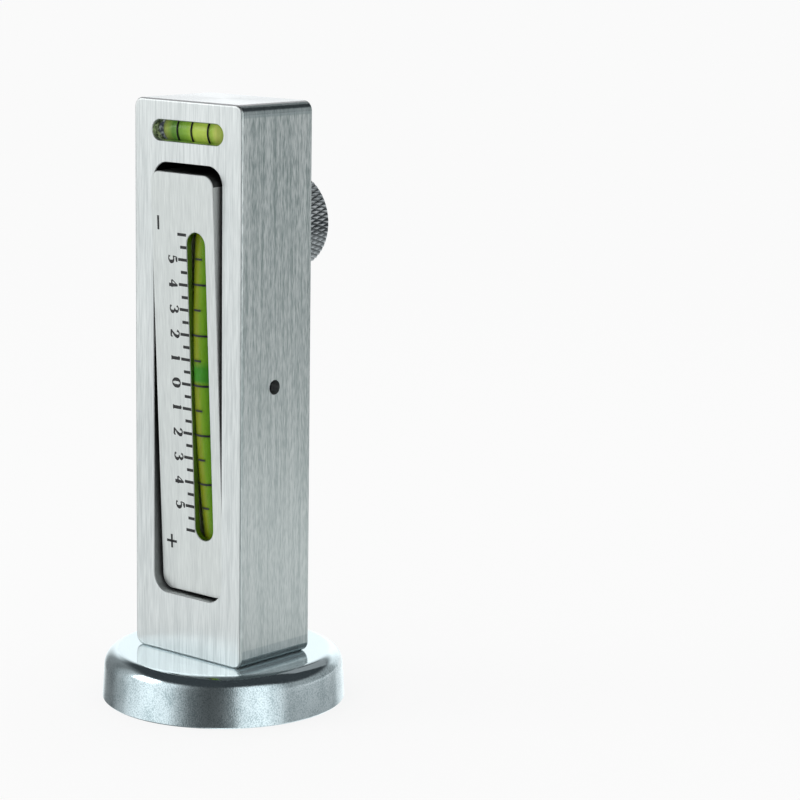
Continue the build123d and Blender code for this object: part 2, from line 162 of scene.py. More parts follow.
def calc(operation, *numbers):
    """One step of arithmetic."""
    return add(tree_of(numbers), "Math", dict(enumerate(numbers)), operation=operation)


def mix(share, first, second, **settings):
    """Turns from first to second, numbers or colours, as share goes from 0 to 1."""
    colors = any(isinstance(end, tuple) or getattr(end, "type", "") == "RGBA" for end in (first, second))
    kind = "RGBA" if colors else "FLOAT"
    ends = {"Factor": share, "A": first, "B": second}
    return add(tree_of(ends.values()), "Mix", ends, "Result", data_type=kind, **settings)


def spread(number, low, high, start=0.3, end=0.7, **settings):
    """A number that runs from low to high as another runs from start to end."""
    ends = {"Value": number, "From Min": start, "From Max": end, "To Min": low, "To Max": high}
    return add(number.id_data, "MapRange", ends, **settings)


def color_row(number, stops, interpolation="LINEAR"):
    """A colour that changes with a number from 0 to 1, by stops of (number, colour)."""
    color = add(number.id_data, "ValToRGB", {"Fac": number})
    ramp = color.node.color_ramp
    ramp.interpolation = interpolation
    for stop, (position, tone) in zip((ramp.elements[0], ramp.elements[1]), (stops[0], stops[-1])):
        stop.position, stop.color = position, (*tone, 1)
    for position, tone in stops[1:-1]:
        ramp.elements.new(position).color = (*tone, 1)
    return color


def xyz(tree, vector=None):
    """The three numbers of a vector, or of a point's place on its piece."""
    if vector is None:
        vector = add(tree, "TexCoord", output="Object")
    return add(tree, "SeparateXYZ", {0: vector}).node.outputs[:]


def new_material(name, color, metallic=0.0, roughness=0.5):
    """A material with its node tree and its shader, the values set on the shader itself."""
    material = bpy.data.materials.new(name)
    material.use_nodes = True
    material.diffuse_color = (*color, 1)
    tree = material.node_tree
    shader = tree.nodes["Principled BSDF"]
    feed(shader, {"Base Color": color, "Metallic": metallic, "Roughness": roughness})
    return material, tree, shader


print("node calls are ready")

# %% [markdown]
# ## Floor and light
#
# The gauge stands on white paper. Lit plainly, white paper comes out a light grey, so the eye
# is shown part paper, part plain white, which keeps the gauge's shadow on it. The same white
# fills the world behind.

# %% Floor
def deselect():
    """Nothing is selected, so that the next operator can't touch another piece."""
    bpy.ops.object.select_all(action="DESELECT")


def make(operator, **settings):
    """A new piece, by one of the operators that add a primitive."""
    deselect()
    operator(**settings)
    return bpy.context.object


PLAIN_WHITE_SHARE = 0.82
floor = make(bpy.ops.mesh.primitive_plane_add, size=16)
floor.name = "floor"
paper, tree, shader = new_material("floor_paper", (0.95, 0.95, 0.95), roughness=0.9)
feed(shader, {"Specular IOR Level": 0.0})
floor_ray = add(tree, "LightPath").node.outputs
whiteness = calc("MULTIPLY", floor_ray["Is Camera Ray"], PLAIN_WHITE_SHARE)
lit_paper = add(tree, "MixShader", {"Fac": whiteness, 1: shader.outputs["BSDF"], 2: add(tree, "Emission")})
floor.data.materials.append(paper)
print("floor", floor.dimensions.x, "m wide")

# %% [markdown]
# Metal mirrors the paper too. A bright patch beside the gauge lights the foot of the right side,
# and one behind it lights the underside of the knob. Elsewhere a mirrored ray goes on into the
# room, so the floor is clear to it there.

# %% Floor: what metal sees of it
# where each patch lies in metres, how far it reaches and how bright it is
PATCHES = [((0.15, 0.15, 0), 0.24, 0.60), ((-0.04, 0.17, 0), 0.17, 1.0)]
on_floor = add(tree, "TexCoord", output="Object")
brightness = 0.0
for middle, reach, glow in PATCHES:
    distance = add(tree, "VectorMath", {0: on_floor, 1: middle}, "Value", operation="DISTANCE")
    falls_off = spread(distance, glow, 0, 0.2 * reach, reach, interpolation_type="SMOOTHSTEP")
    brightness = calc("MAXIMUM", falls_off, brightness)
patches = {"Fac": brightness, 1: add(tree, "BsdfTransparent"), 2: add(tree, "Emission")}
seen = {"Fac": floor_ray["Is Glossy Ray"], 1: lit_paper, 2: add(tree, "MixShader", patches)}
feed(tree.nodes["Material Output"], {"Surface": add(tree, "MixShader", seen)})
print("bright patches of paper:", len(PATCHES))

# %% [markdown]
# Bare metal has no colour of its own: it shows what stands round it. So the world holds a
# studio for glossy rays: a large soft box on the left of the scale, one on the right, the dark
# gap between them where the camera stands, a duller room behind, and a bright sheet far back.
# One row of brightness by compass direction says all of that.

# %% World: brightness of the room by compass direction
# degrees round from +X towards +Y, and how bright the room is there
ROOM = [
    (-180, 0.20), (-160, 0.44), (-142, 0.92), (-120, 1.14), (-100, 1.00), (-89, 0.48), (-78, 0.18),
    (-62, 0.08), (-49, 0.09), (-38, 0.24), (-27, 1.05), (-8, 1.18), (6, 0.88), (18, 0.34),
    (38, 0.36), (60, 0.33), (84, 0.36), (98, 0.86), (120, 1.26), (144, 1.12), (163, 0.26), (180, 0.20),
]
world = bpy.data.worlds.new("studio")
bpy.context.scene.world = world
world.use_nodes = True
room = world.node_tree
room.nodes.clear()
east, north, up = xyz(room, add(room, "TexCoord", output="Generated"))
bearing = spread(calc("ARCTAN2", north, east), 0, 1, -pi, pi)
walls = color_row(
    bearing, [((turn + 180) / 360, (0.96 * grey, grey, 1.01 * grey)) for turn, grey in ROOM], "EASE"
)
print("the room has", len(ROOM), "stops round")

# %% [markdown]
# A dark ceiling lies over the room, and it comes lower at the back, where the direction's north
# part is positive. Everything that isn't a mirror gets one soft, even light instead of the room,
# and the camera sees plain white.

# %% World: the dark ceiling, and what each kind of ray sees
CEILING = (0.040, 0.046, 0.050)
CEILING_START, CEILING_FULL = sin(radians(33)), sin(radians(47))
raised = calc("ADD", spread(north, 0, 0.24, 0, 0.5), up)
overhead = spread(raised, 0, 1, CEILING_START, CEILING_FULL, interpolation_type="SMOOTHSTEP")
soft_light = add(room, "Background", {"Color": (0.80, 0.80, 0.80)})
plain_white = add(room, "Background", {"Color": (1.0, 1.0, 1.0)})
reflected = add(room, "Background", {"Color": mix(overhead, walls, CEILING)})
world_ray = add(room, "LightPath").node.outputs
mirrored = calc("MAXIMUM", world_ray["Is Glossy Ray"], world_ray["Is Transmission Ray"])
lighting = add(room, "MixShader", {"Fac": mirrored, 1: soft_light, 2: reflected})
world_seen = add(room, "MixShader", {"Fac": world_ray["Is Camera Ray"], 1: lighting, 2: plain_white})
feed(room.nodes.new("ShaderNodeOutputWorld"), {"Surface": world_seen})
print("world has", len(room.nodes), "nodes")

# %% [markdown]
# The world is endlessly far away, so a flat face would shine evenly from top to bottom. Two lamps
# close by, at the top of the front and of the back, make a face fall off along its length.

# %% Lamps
# where each lamp stands, what it looks at, its size in metres and its power in watts
LAMPS = {
    "key_lamp": ((-0.32, -0.36, 0.28), (0, 0, 0.12), 0.24, 0.32),
    "back_lamp": ((-0.10, 0.45, 0.42), (0, 0, 0.12), 0.30, 0.07),
}
for name, (stand, target, size, watts) in LAMPS.items():
    bpy.ops.object.light_add(type="AREA", location=stand)
    lamp = bpy.context.object
    lamp.name = name
    lamp.data.size = size
    lamp.data.energy = watts
    lamp.rotation_euler = (Vector(target) - Vector(stand)).to_track_quat("-Z", "Y").to_euler()
bpy.context.scene.view_settings.view_transform = "Standard"
print("lamps:", ", ".join(LAMPS))

# %% [markdown]
# ## Finishes
#
# Every finish is built the same way: noise on Object coordinates steers the colour, the
# roughness and a fine bump, so the grain has one size all over and stays put when a piece moves.
# Where a point lies on its piece then says which colour it has: a number that goes from 0 to 1
# across a soft edge is a mask, and two masks multiplied are where both hold.

# %% Patterns and masks
SOFT = 0.1 * MM


def noise(tree, grain, detail=3.0, vector=None):
    """Noise with features about grain mm long, one number or three for x, y and z."""
    if vector is None:
        vector = add(tree, "TexCoord", output="Object")
    if isinstance(grain, float):
        grain = (grain, grain, grain)
    scaled = add(tree, "Mapping", {"Vector": vector, "Scale": [1 / (size * MM) for size in grain]})
    return add(tree, "TexNoise", {"Vector": scaled, "Scale": 1.0, "Detail": detail}, "Fac")


def add_bump(shader, pattern, depth, strength=1.0):
    """Bump of a given depth in mm."""
    heights = {"Height": pattern, "Distance": depth * MM, "Strength": strength}
    feed(shader, {"Normal": add(pattern.id_data, "Bump", heights, "Normal")})


def over(number, low, soft=SOFT):
    """A mask of where a number is over low."""
    return spread(number, 0, 1, low - soft, low)


def under(number, high, soft=SOFT):
    """A mask of where a number is under high."""
    return spread(number, 1, 0, high, high + soft)


def both(*masks):
    """A mask of where all masks hold."""
    result = masks[0]
    for mask in masks[1:]:
        result = calc("MULTIPLY", result, mask)
    return result


def within(number, low, high, soft=SOFT):
    """A mask of where a number lies between low and high."""
    return both(over(number, low, soft), under(number, high, soft))


print("patterns and masks are ready")

# %% [markdown]
# The bar and the carrier are brushed lengthwise: hair-fine scratches a few millimetres long, over
# broader, fainter streaks. Noise stretched along Z gives both. Scratches throw the light sideways
# much more than up and down, so a face mixes the room from left to right and stays sharp in
# height. That is anisotropy, with the tangent level.

# %% Brushed aluminium
def brushed_aluminium(name, light, dark):
    """The material, its tree and shader, and the grain, colour and roughness of its brushing."""
    material, tree, shader = new_material(name, light, metallic=1.0, roughness=0.42)
    hairs = noise(tree, (0.30, 0.30, 6.0))
    grain = mix(0.35, hairs, noise(tree, (1.3, 1.3, 40.0), detail=2.0))
    level = add(tree, "Tangent", direction_type="RADIAL", axis="Z")
    feed(shader, {"Anisotropic": 0.6, "Tangent": level})
    add_bump(shader, hairs, 0.02, 0.5)
    color = mix(spread(grain, 0, 1, 0.36, 0.64), dark, light)
    return material, tree, shader, color, spread(grain, 0.46, 0.38)


print("brushed aluminium is ready")

# %% [markdown]
# The bar isn't brushed evenly. Its sides took more pressure and show coarser, darker streaks,
# most of all near the top. The rounded corners are polished and mirror the ceiling as a sharp
# band, and a darker colour is painted near the top and foot of each side, a painted dark reflection.

# %% Finish of the bar: faces, sides and corners
BAR_CORNER, CORNER_EDGE = 2.4 * MM, 0.05 * MM
DARK_BAND_TOP, DARK_BAND_FOOT, DARK_BAND_EDGE = 2.9 * MM, 4.2 * MM, 0.4 * MM
bar_finish, tree, shader, face_color, brushed_rough = brushed_aluminium(
    "brushed_bar", (0.88, 0.90, 0.89), (0.70, 0.725, 0.72)
)
x, y, z = xyz(tree)
half_width = body_high.x
half_height = (body_high.z - body_low.z) / 2
sideways = calc("ABSOLUTE", x)
endways = calc("ABSOLUTE", calc("SUBTRACT", z, body_low.z + half_height))

scratches = noise(tree, (0.32, 0.32, 2.4), detail=4.0)
streaks = mix(0.4, scratches, noise(tree, (0.8, 0.8, 34.0), detail=2.0))
streaky = spread(streaks, 0, 1, 0.38, 0.60)
evener = spread(z, 0.6, 0, body_low.z + 30 * MM, body_high.z - 20 * MM)
side_color = mix(mix(evener, streaky, 0.45), (0.42, 0.50, 0.495), (0.95, 1.0, 0.99))
color = mix(over(sideways, half_width - 0.3 * MM), face_color, side_color)

between_faces = within(y, body_low.y + 0.6 * MM, body_high.y - 0.6 * MM)
near_side = both(over(sideways, half_width - BAR_CORNER, CORNER_EDGE), between_faces)
on_corner = both(near_side, over(endways, half_height - BAR_CORNER, CORNER_EDGE))
at_top = over(z, body_high.z - DARK_BAND_TOP, DARK_BAND_EDGE)
at_foot = under(z, body_low.z + DARK_BAND_FOOT, DARK_BAND_EDGE)
# A darker colour is painted near the top and foot of each side: a painted dark reflection band.
dark_band_mask = both(calc("MAXIMUM", at_top, at_foot), near_side)
dark_band_color = mix(streaky, (0.44, 0.52, 0.525), (0.66, 0.73, 0.735))
color = mix(dark_band_mask, color, dark_band_color)
print("the bar's corners are", BAR_CORNER / MM, "mm round")

# %% [markdown]
# The top face is polished, and partly a plain grey, so that it also catches the soft light from
# above. The milled pocket is painted dark, a painted shade, and painted lighter near its foot, a
# painted light. The bore of the small vial is painted the green of its glass, a painted green
# reflection, and glassy grey with painted glints beside its plug.

# %% Finish of the bar: top face, pocket and bore
POCKET_HALF_WIDTH = 11.7 * MM
POCKET_TO_END = 14.9 * MM
POLISHED_ROUGH, TOP_MIRROR = 0.16, 0.45
on_top = over(z, body_high.z - 0.25 * MM)
color = mix(on_top, color, (0.68, 0.685, 0.70))
in_pocket = both(under(sideways, POCKET_HALF_WIDTH), under(endways, half_height - POCKET_TO_END))
behind_face = within(y, body_low.y + 0.35 * MM, body_high.y - 0.6 * MM, 0.2 * MM)
# Painted shade on the pocket's walls, painted lighter near the foot as if lit there.
painted_light_at_foot = spread(z, 1, 0, body_low.z + 16 * MM, pivot.z - 10 * MM)
painted_pocket_shade = mix(painted_light_at_foot, (0.060, 0.062, 0.058), (0.42, 0.44, 0.44))
color = mix(both(in_pocket, behind_face), color, painted_pocket_shade)

level_low, level_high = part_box("level_vial_tube")
cavity_low, cavity_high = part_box("level_vial_spirit")
beside_vial = within(z, level_low.z - 0.2 * MM, level_high.z + 0.2 * MM)
in_bore = both(under(sideways, half_width - 0.4 * MM), beside_vial, behind_face)
beside_plug = spread(x, 1, 0, cavity_low.x + 2.6 * MM, cavity_low.x + 4.2 * MM)
# Painted light in the bore: a painted green reflection of the vial's glass, and painted glints beside the
# plug.
painted_glints = spread(noise(tree, 0.9, detail=2.0), 0, 1, 0.42, 0.62)
painted_glassy_glints = mix(painted_glints, (0.16, 0.18, 0.22), (0.90, 0.95, 1.0))
color = mix(in_bore, color, mix(beside_plug, (0.52, 0.66, 0.34), painted_glassy_glints))
polished = calc("MAXIMUM", on_corner, on_top)
feed(shader, {
    "Base Color": color,
    "Roughness": mix(polished, brushed_rough, POLISHED_ROUGH),
    "Metallic": spread(on_top, 1.0, TOP_MIRROR, 0, 1),
})
print("bar finish has", len(tree.nodes), "nodes")

# %% [markdown]
# The carrier is brushed more finely. Its window's walls are painted green, a painted green light
# of the vial, and its top end is painted dark, a painted shade like that of the pocket round it.
# The mapping node turns a point's place into the carrier's upright axes.

# %% Finish of the carrier
WINDOW_FOOT, WINDOW_TOP = -38.2 * MM, 37.8 * MM
SHADED_TOP = 2.6 * MM
scale_finish, tree, shader, face_color, brushed_rough = brushed_aluminium(
    "brushed_scale", (0.84, 0.86, 0.84), (0.73, 0.75, 0.735)
)
upright = add(tree, "Mapping", {
    "Vector": add(tree, "TexCoord", output="Object"),
    "Rotation": (-REST_TILT, 0, 0),
    "Location": -(Matrix.Rotation(-REST_TILT, 3, "X") @ pivot),
})
x, y, z = xyz(tree, upright)
vial_low, vial_high = carrier_box("camber_vial_tube")
in_window = both(
    within(x, vial_low.x + 0.6 * MM, vial_high.x - 0.6 * MM),
    within(z, WINDOW_FOOT, WINDOW_TOP),
)
under_face = over(y, scale_face + 0.2 * MM)
# Painted green light on the window's walls.
color = mix(both(in_window, under_face), face_color, (0.24, 0.40, 0.08))
# Painted shade on the carrier's top end.
shaded_top_end = both(over(z, carrier_high.z - SHADED_TOP), under_face)
color = mix(shaded_top_end, color, (0.10, 0.105, 0.10))
feed(shader, {"Base Color": color, "Roughness": brushed_rough})
print("brushed finishes:", bar_finish.name, scale_finish.name)

# %% [markdown]
# The base is a drawn steel cup with bright zinc plating. Its top is polished like a mirror, and
# its side keeps the fine grain and cloudy patches of the drawn steel under the plating. The
# height on the cup decides between the two.

# %% Zinc plating
PLATED_LIGHT, PLATED_DULL = (0.77, 0.88, 0.92), (0.44, 0.54, 0.57)
base_finish, tree, shader = new_material("zinc_plating", PLATED_LIGHT, 1.0, 0.15)
x, y, z = xyz(tree)
grain = noise(tree, (0.32, 0.32, 0.36), detail=5.0)
mottle = mix(0.35, grain, noise(tree, (4.0, 4.0, 6.0)))
side = spread(z, 1, 0, base_top - 2.6 * MM, base_top - 0.15 * MM)
cloudy = both(side, spread(mottle, 0, 1, 0.44, 0.62))
flat_top = over(z, base_top - 0.02 * MM)
feed(shader, {
    "Base Color": mix(cloudy, PLATED_LIGHT, PLATED_DULL),
    "Roughness": spread(side, 0.09, 0.14, 0, 1),
    "Metallic": spread(flat_top, 1.0, 0.8, 0, 1),
})
add_bump(shader, both(side, grain), 0.04, 0.5)
print("base finish:", base_finish.name)

# %% [markdown]
# The other pieces, most of them inside, get a plain finish each: a fine mottle in colour and
# roughness with a shallow bump, at the grain of the material.

# %% Plain finishes
def mottled(name, light, dark, metallic, rough, grain, depth=0.01):
    """A finish that wanders between two colours and two roughnesses."""
    material, tree, shader = new_material(name, light, metallic, rough[0])
    pattern = noise(tree, grain)
    color = mix(spread(pattern, 0, 1), dark, light)
    feed(shader, {"Base Color": color, "Roughness": spread(pattern, *rough)})
    add_bump(shader, pattern, depth)
    return material


# light and dark colour, metallic, roughness from and to, grain and depth of the bump in mm
steel = mottled(
    "ground_steel", (0.60, 0.61, 0.62), (0.48, 0.49, 0.50), 1.0, (0.38, 0.26), (0.15, 0.15, 2.0)
)
black_steel = mottled("black_oxide", (0.06, 0.06, 0.065), (0.03, 0.03, 0.032), 0.6, (0.5, 0.38), 0.3)
spring_wire = mottled("spring_wire", (0.50, 0.51, 0.53), (0.36, 0.37, 0.39), 1.0, (0.34, 0.24), 0.2)
brass = mottled(
    "turned_brass", (0.78, 0.60, 0.30), (0.62, 0.46, 0.20), 1.0, (0.36, 0.24), (0.12, 1.0, 1.0)
)
ferrite = mottled("fired_ferrite", (0.13, 0.13, 0.14), (0.08, 0.08, 0.09), 0.0, (0.6, 0.5), 0.25, 0.02)
resin = mottled("cast_resin", (0.055, 0.055, 0.06), (0.03, 0.03, 0.033), 0.0, (0.35, 0.25), 1.5, 0.03)
rubber = mottled("soft_rubber", (0.045, 0.045, 0.045), (0.02, 0.02, 0.02), 0.0, (0.85, 0.7), 0.3, 0.02)
ink = mottled("black_ink", (0.010, 0.010, 0.011), (0.005, 0.005, 0.006), 0.0, (0.55, 0.4), 0.2, 0.002)
print("plain finishes made:", len([steel, black_steel, spring_wire, brass, ferrite, resin, rubber, ink]))

# %% [markdown]
# ## CAD pieces that keep their shape
#
# The bar, the carrier, the cup and the small inner parts are right as they are. Each gets its
# finish in its own material slot, and its mesh stays as it came.

# %% Dress the CAD nodes
NODES_BY_FINISH = [
    (bar_finish, ["housing"]),
    (scale_finish, ["scale_carrier"]),
    (base_finish, ["magnet_cup", "pole_piece"]),
    (black_steel, ["pivot_pin", "base_screw", "back_plate_screws"]),
    (brass, ["pivot_spacers", "thrust_pad"]),
    (ferrite, ["ring_magnet"]),
    (resin, ["magnet_potting"]),
    (spring_wire, ["base_washer"]),
    (rubber, ["vial_cushions"]),
    (steel, ["back_plate"]),
]
for material, nodes in NODES_BY_FINISH:
    for node in nodes:
        frame["nodes"][node].material_slots[0].material = material
print("dressed", sum(len(nodes) for material, nodes in NODES_BY_FINISH), "CAD nodes")

# %% [markdown]
# ## Modelling helpers
#
# Each new piece starts as a primitive, whose edges or points are picked in edit mode by where
# they are. A finished piece rides on a CAD body, and names the CAD node that it stands for, which
# is hidden.

# %% Editing helpers
TINY = 1e-6
MERGE = 0.002 * MM
NO_MOVE = Matrix.Identity(4)
STAND_UP = Matrix.Rotation(radians(90), 4, "X")


def alone(piece):
    """Selects this piece only, and makes it the active one."""
    deselect()
    piece.select_set(True)
    bpy.context.view_layer.objects.active = piece


def open_mesh(piece, mode="VERT"):
    """Edit mode on this piece alone, with nothing selected in it."""
    alone(piece)
    bpy.ops.object.mode_set(mode="EDIT")
    bpy.ops.mesh.select_mode(type=mode)
    bpy.ops.mesh.select_all(action="DESELECT")


def close_mesh():
    bpy.ops.object.mode_set(mode="OBJECT")


def pick(piece, wanted):
    """Selects what passes the test: edges by their middle, points by their place."""
    mesh = bmesh.from_edit_mesh(piece.data)
    if bpy.context.tool_settings.mesh_select_mode[1]:
        for edge in mesh.edges:
            edge.select_set(wanted((edge.verts[0].co + edge.verts[1].co) / 2))
    else:
        for vertex in mesh.verts:
            vertex.select_set(wanted(vertex.co))
    mesh.select_flush_mode()
    bmesh.update_edit_mesh(piece.data)


def on_all(piece, operator, mode="VERT", **settings):
    """Runs one operator on everything in a piece's mesh."""
    open_mesh(piece, mode)
    bpy.ops.mesh.select_all(action="SELECT")
    operator(**settings)
    close_mesh()


def bevel_edges(piece, wanted, offset, segments=1, **settings):
    """Bevels the edges whose middle passes the test."""
    open_mesh(piece, "EDGE")
    pick(piece, wanted)
    bpy.ops.mesh.bevel(offset=offset, segments=segments, **settings)
    close_mesh()


def face_outwards(piece):
    """Closes doubled points and turns all faces outwards."""
    on_all(piece, bpy.ops.mesh.remove_doubles, threshold=MERGE)
    on_all(piece, bpy.ops.mesh.normals_make_consistent, inside=False)


def cut_ends(piece, low, high):
    """Cuts a piece off flat below low and above high, measured along Z."""
    for height, side in ((low, -1), (high, 1)):
        on_all(
            piece, bpy.ops.mesh.bisect,
            plane_co=(0, 0, height), plane_no=(0, 0, side), use_fill=True, clear_outer=True,
        )
    face_outwards(piece)


def spin_solid(piece, steps, angle, center, axis):
    """Spins a flat piece into a solid and closes the face it started from."""
    on_all(piece, bpy.ops.mesh.spin, steps=steps, angle=angle, center=center, axis=axis)
    open_mesh(piece)
    bpy.ops.mesh.select_non_manifold()
    bpy.ops.mesh.edge_face_add()
    close_mesh()
    face_outwards(piece)


def place(piece, matrix):
    """Moves a piece by a matrix and leaves its place in its mesh."""
    bpy.context.view_layer.update()
    piece.matrix_world = matrix @ piece.matrix_world
    alone(piece)
    bpy.ops.object.transform_apply(location=True, rotation=True, scale=True)


def use_modifier(piece, kind, **settings):
    """Adds one modifier with its settings and applies it."""
    alone(piece)
    bpy.ops.object.modifier_add(type=kind)
    modifier = piece.modifiers[-1]
    for name, value in settings.items():
        setattr(modifier, name, value)
    bpy.ops.object.modifier_apply(modifier=modifier.name)


def combine(piece, operation, tool):
    """Cuts a piece by a tool or adds the tool to it, and removes the tool."""
    use_modifier(piece, "BOOLEAN", operation=operation, object=tool, solver="EXACT")
    bpy.data.objects.remove(tool)


def join(pieces):
    """Joins pieces into the first one."""
    alone(pieces[0])
    for piece in pieces:
        piece.select_set(True)
    bpy.ops.object.join()
    return pieces[0]


print("editing helpers are ready")

# %% Finishing helpers
def dress(piece, name, material, smooth):
    """Names and colours a piece, and shades it smooth up to an angle in degrees."""
    piece.name = piece.data.name = name
    piece.data.materials.clear()
    piece.data.materials.append(material)
    alone(piece)
    bpy.ops.object.shade_smooth_by_angle(angle=radians(smooth))
    print(name, "has", sum(len(face.vertices) - 2 for face in piece.data.polygons), "triangles")


def finish_piece(piece, name, body, slot, material, *nodes, smooth=60):
    """Dresses a piece and hangs it on its CAD body."""
    dress(piece, name, material, smooth)
    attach(piece, body)
    if nodes:
        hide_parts(*nodes)


print("finishing helpers are ready")

# %% [markdown]
# ## Knob
#
# Knurling presses a lattice of diamonds into the rim. One diamond is a square on its corner,
# poked up into a low pyramid. A ring of them is spun round the axis, and the next ring sits half a
# diamond further round. The lattice is cut off at both ends and kept only inside a plain turned
# blank, so the blank's bevels cut the pyramids as on the lathe.

# %% Knob: sizes
knob_low, knob_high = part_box("knob")
KNOB_RADIUS = (knob_high.x - knob_low.x) / 2
KNOB_BEVEL = 0.55 * MM
KNOB_THICKNESS = 8.5 * MM
KNOB_HUB_RADIUS = 5.5 * MM
KNOB_HUB_LENGTH = knob_high.y - knob_low.y - KNOB_THICKNESS
KNURLS_ROUND = 56
KNURL_DEPTH = 0.42 * MM
KNURL_ROW = 1.9 * MM
print("knob radius", round(KNOB_RADIUS / MM, 2), "hub", round(KNOB_HUB_LENGTH / MM, 2), "mm long")

# %% [markdown]
# The lathe leaves rings too fine to see. They show only in how the face shines: a ring throws the
# light across itself, along the radius, and that makes two bright fans that meet in the middle.
# The tangent node runs round the axis, so the anisotropy is turned by a quarter. The roots between
# the knurled diamonds are painted dark, a painted shade.

# %% Knob: turned aluminium
QUARTER = 0.25
knob_finish, tree, shader = new_material("turned_knob", (0.70, 0.74, 0.76), 1.0, 0.34)
centred = add(tree, "Mapping", {
    "Vector": add(tree, "TexCoord", output="Object"),
    "Location": (-screw_axis.x, 0, -screw_axis.z),
    "Scale": (1, 0, 1),
})
from_axis = add(tree, "VectorMath", {0: centred}, "Value", operation="LENGTH")
turning = noise(tree, 0.16, vector=from_axis)
face_color = mix(spread(turning, 0, 1), (0.62, 0.66, 0.68), (0.76, 0.80, 0.82))
x, y, z = xyz(tree)
# Painted shade in the roots of the knurling.
painted_root_shade = both(
    spread(from_axis, 1, 0, KNOB_RADIUS - KNURL_DEPTH, KNOB_RADIUS - 0.08 * MM),
    within(y, knob_high.y - 8.3 * MM, knob_high.y - 0.3 * MM),
    over(from_axis, KNOB_RADIUS - 0.7 * MM),
)
feed(shader, {
    "Anisotropic": 0.9,
    "Anisotropic Rotation": QUARTER,
    "Tangent": add(tree, "Tangent", direction_type="RADIAL", axis="Y"),
    "Base Color": mix(painted_root_shade, face_color, (0.20, 0.215, 0.22)),
    "Roughness": spread(turning, 0.38, 0.30),
})
print("knob finish:", knob_finish.name)

# %% Knob: one diamond, spun into a ring
root_radius = KNOB_RADIUS - KNURL_DEPTH
half_step = pi / KNURLS_ROUND
knurl = make(bpy.ops.mesh.primitive_circle_add, vertices=4, radius=1, fill_type="NGON")
knurl.data.transform(Matrix.Diagonal((root_radius * tan(half_step), KNURL_ROW, 1, 1)))
knurl.data.transform(STAND_UP)
knurl.data.transform(Matrix.Translation((0, -root_radius, 0)))
on_all(knurl, bpy.ops.mesh.poke, "FACE", offset=0)
open_mesh(knurl)
pick(knurl, lambda point: abs(point.x) < TINY and abs(point.z) < TINY)
bpy.ops.transform.translate(value=(0, -1.15 * KNURL_DEPTH, 0))
close_mesh()
on_all(
    knurl, bpy.ops.mesh.spin, dupli=True, steps=KNURLS_ROUND - 1,
    angle=2 * half_step * (KNURLS_ROUND - 1), center=(0, 0, 0), axis=(0, 0, 1),
)
print("a ring of", KNURLS_ROUND, "diamonds")

# %% Knob: rings stacked along the rim, merged and cut off
rings = [knurl]
rows = int(KNOB_THICKNESS / KNURL_ROW) + 3
for row in range(1, rows):
    ring = knurl.copy()
    ring.data = knurl.data.copy()
    bpy.context.collection.objects.link(ring)
    ring.data.transform(Matrix.Rotation(half_step * (row % 2), 4, "Z"))
    ring.data.transform(Matrix.Translation((0, 0, row * KNURL_ROW)))
    rings.append(ring)
knurl = join(rings)
knurl.data.transform(Matrix.Translation((0, 0, -(rows - 1) * KNURL_ROW / 2)))
on_all(knurl, bpy.ops.mesh.remove_doubles, threshold=0.04 * MM)
knurl_end = KNOB_THICKNESS / 2 + 0.3 * MM
cut_ends(knurl, -knurl_end, knurl_end)
print("knurled rod with", len(knurl.data.polygons), "faces")

# %% Knob: the turned blank and the hub
front_end = KNOB_THICKNESS / 2
blank = make(
    bpy.ops.mesh.primitive_cylinder_add,
    vertices=4 * KNURLS_ROUND, radius=KNOB_RADIUS, depth=KNOB_THICKNESS,
)
bevel_edges(blank, lambda middle: abs(middle.z) > front_end - TINY, KNOB_BEVEL)
combine(knurl, "INTERSECT", blank)

hub = make(
    bpy.ops.mesh.primitive_cylinder_add,
    vertices=96, radius=KNOB_HUB_RADIUS, depth=KNOB_HUB_LENGTH + 1 * MM,
    location=(0, 0, -(KNOB_THICKNESS + KNOB_HUB_LENGTH - 1 * MM) / 2),
)
bevel_edges(hub, lambda middle: middle.z < -front_end - KNOB_HUB_LENGTH + TINY, 0.3 * MM)
place(hub, NO_MOVE)
combine(knurl, "UNION", hub)
print("knob blank cut, with its hub")

# %% Knob: softened rim of the face, then put on the screw's axis
rim = KNOB_RADIUS - KNOB_BEVEL - 0.02 * MM
bevel_edges(
    knurl, lambda middle: middle.z > front_end - TINY and middle.xy.length > rim, 0.07 * MM, segments=2
)
knob_middle = Vector((screw_axis.x, knob_high.y - front_end, screw_axis.z))
Z_TO_BACK = Matrix.Rotation(radians(-90), 4, "X")
place(knurl, Matrix.Translation(knob_middle) @ Z_TO_BACK)
finish_piece(knurl, "knurled_knob", "knob", "turned_aluminium", knob_finish, "knob", smooth=25)

# %% [markdown]
# ## Adjusting screw and return spring
#
# A thread is a zigzag line carried round an axis and forward at the same time, which is what the
# Screw modifier does, and a spring is the same with a circle for its wire. Both are cut flat at
# their ends. The spring stretches between the bar and the carrier, and the screw rides with the
# knob.

# %% Adjusting screw
SCREW_PITCH = 0.8 * MM
THREAD_DEPTH = 0.42 * MM
screw_low, screw_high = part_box("adjusting_screw")
screw_radius = (screw_high.x - screw_low.x) / 2
screw_length = screw_high.y - screw_low.y
turns = int(screw_length / SCREW_PITCH) + 3

thread = make(bpy.ops.mesh.primitive_circle_add, vertices=4, radius=1)
open_mesh(thread)
pick(thread, lambda point: point.x < -0.5)
bpy.ops.mesh.delete(type="VERT")
close_mesh()
crest = Matrix.Diagonal((THREAD_DEPTH, 1, SCREW_PITCH / 2, 1))
thread.data.transform(crest @ STAND_UP)
thread.data.transform(Matrix.Translation((screw_radius - THREAD_DEPTH, 0, 0)))
use_modifier(
    thread, "SCREW", screw_offset=SCREW_PITCH, iterations=turns, steps=36, render_steps=36,
    use_merge_vertices=True, merge_threshold=MERGE,
)
print("thread wound", turns, "times")

